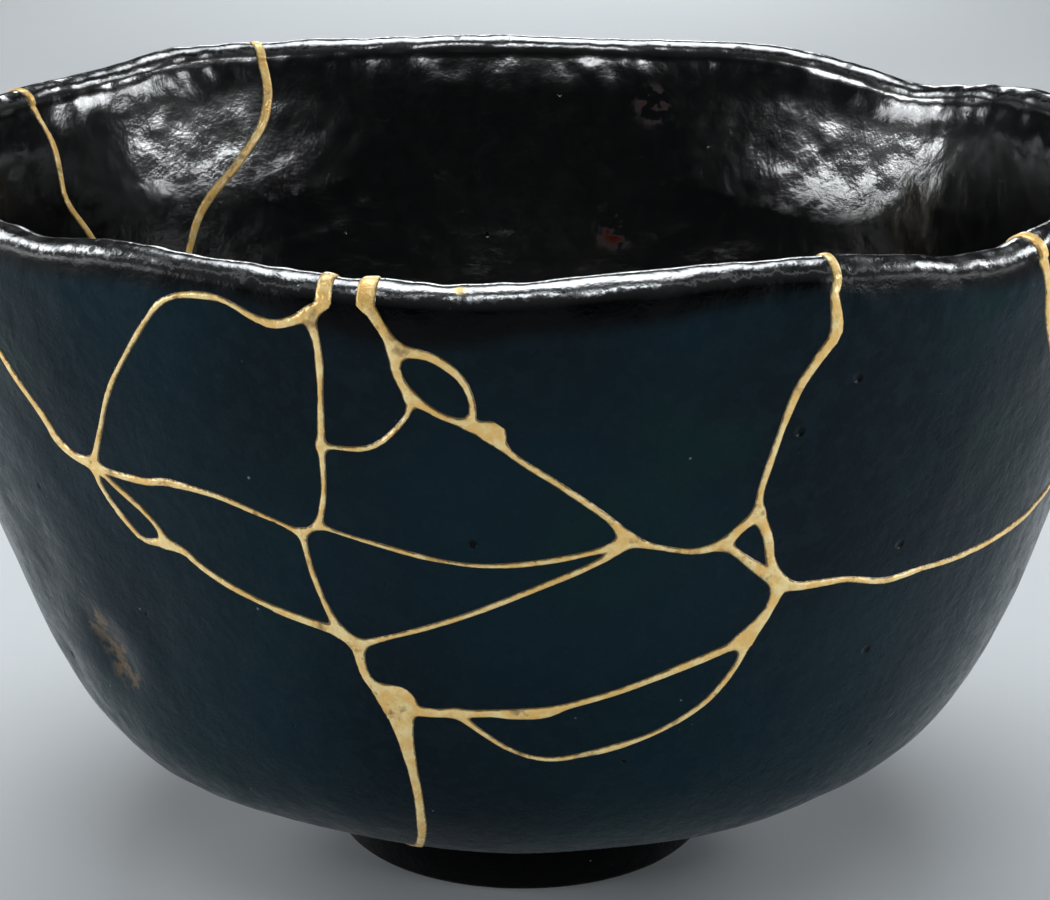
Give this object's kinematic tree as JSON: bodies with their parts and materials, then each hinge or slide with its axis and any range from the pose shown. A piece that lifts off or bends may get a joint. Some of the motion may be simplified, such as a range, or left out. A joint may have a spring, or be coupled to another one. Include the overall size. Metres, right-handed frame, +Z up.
{
  "type": "kintsugi bowl",
  "caption": "Hand-formed black-glazed tea bowl on a low ring foot, its broken wall mended with raised gold lacquer seams.",
  "frame": {"origin": "centre of the foot's underside, on the surface that the bowl stands on", "axes": "+Z up through the bowl's mouth, -Y towards the front with the branching seams, +X to the right seen from the front"},
  "size_m": [0.1195, 0.1188, 0.072],
  "materials": {
    "black_glaze": "semi-gloss teal-black glaze with pinholes and pale specks",
    "gold_lacquer": "satin gold powder on lacquer, ochre in places"
  },
  "bodies": {
    "root": {"body_sherd_with_foot": "black_glaze", "lower_left_sherd": "black_glaze", "left_rim_sherd": "black_glaze", "back_left_rim_sherd": "black_glaze", "arched_sherd": "black_glaze", "narrow_rim_sherd": "black_glaze", "front_rim_sherd": "black_glaze", "right_rim_sherd": "black_glaze", "oval_chip": "black_glaze", "triangle_chip": "black_glaze", "sliver_chip": "black_glaze", "middle_sherd": "black_glaze", "upper_lens_sherd": "black_glaze", "left_lens_sherd": "black_glaze", "centre_sherd": "black_glaze", "crescent_sherd": "black_glaze", "gold_lacquer_seams": "gold_lacquer"}
  },
  "joints": []
}
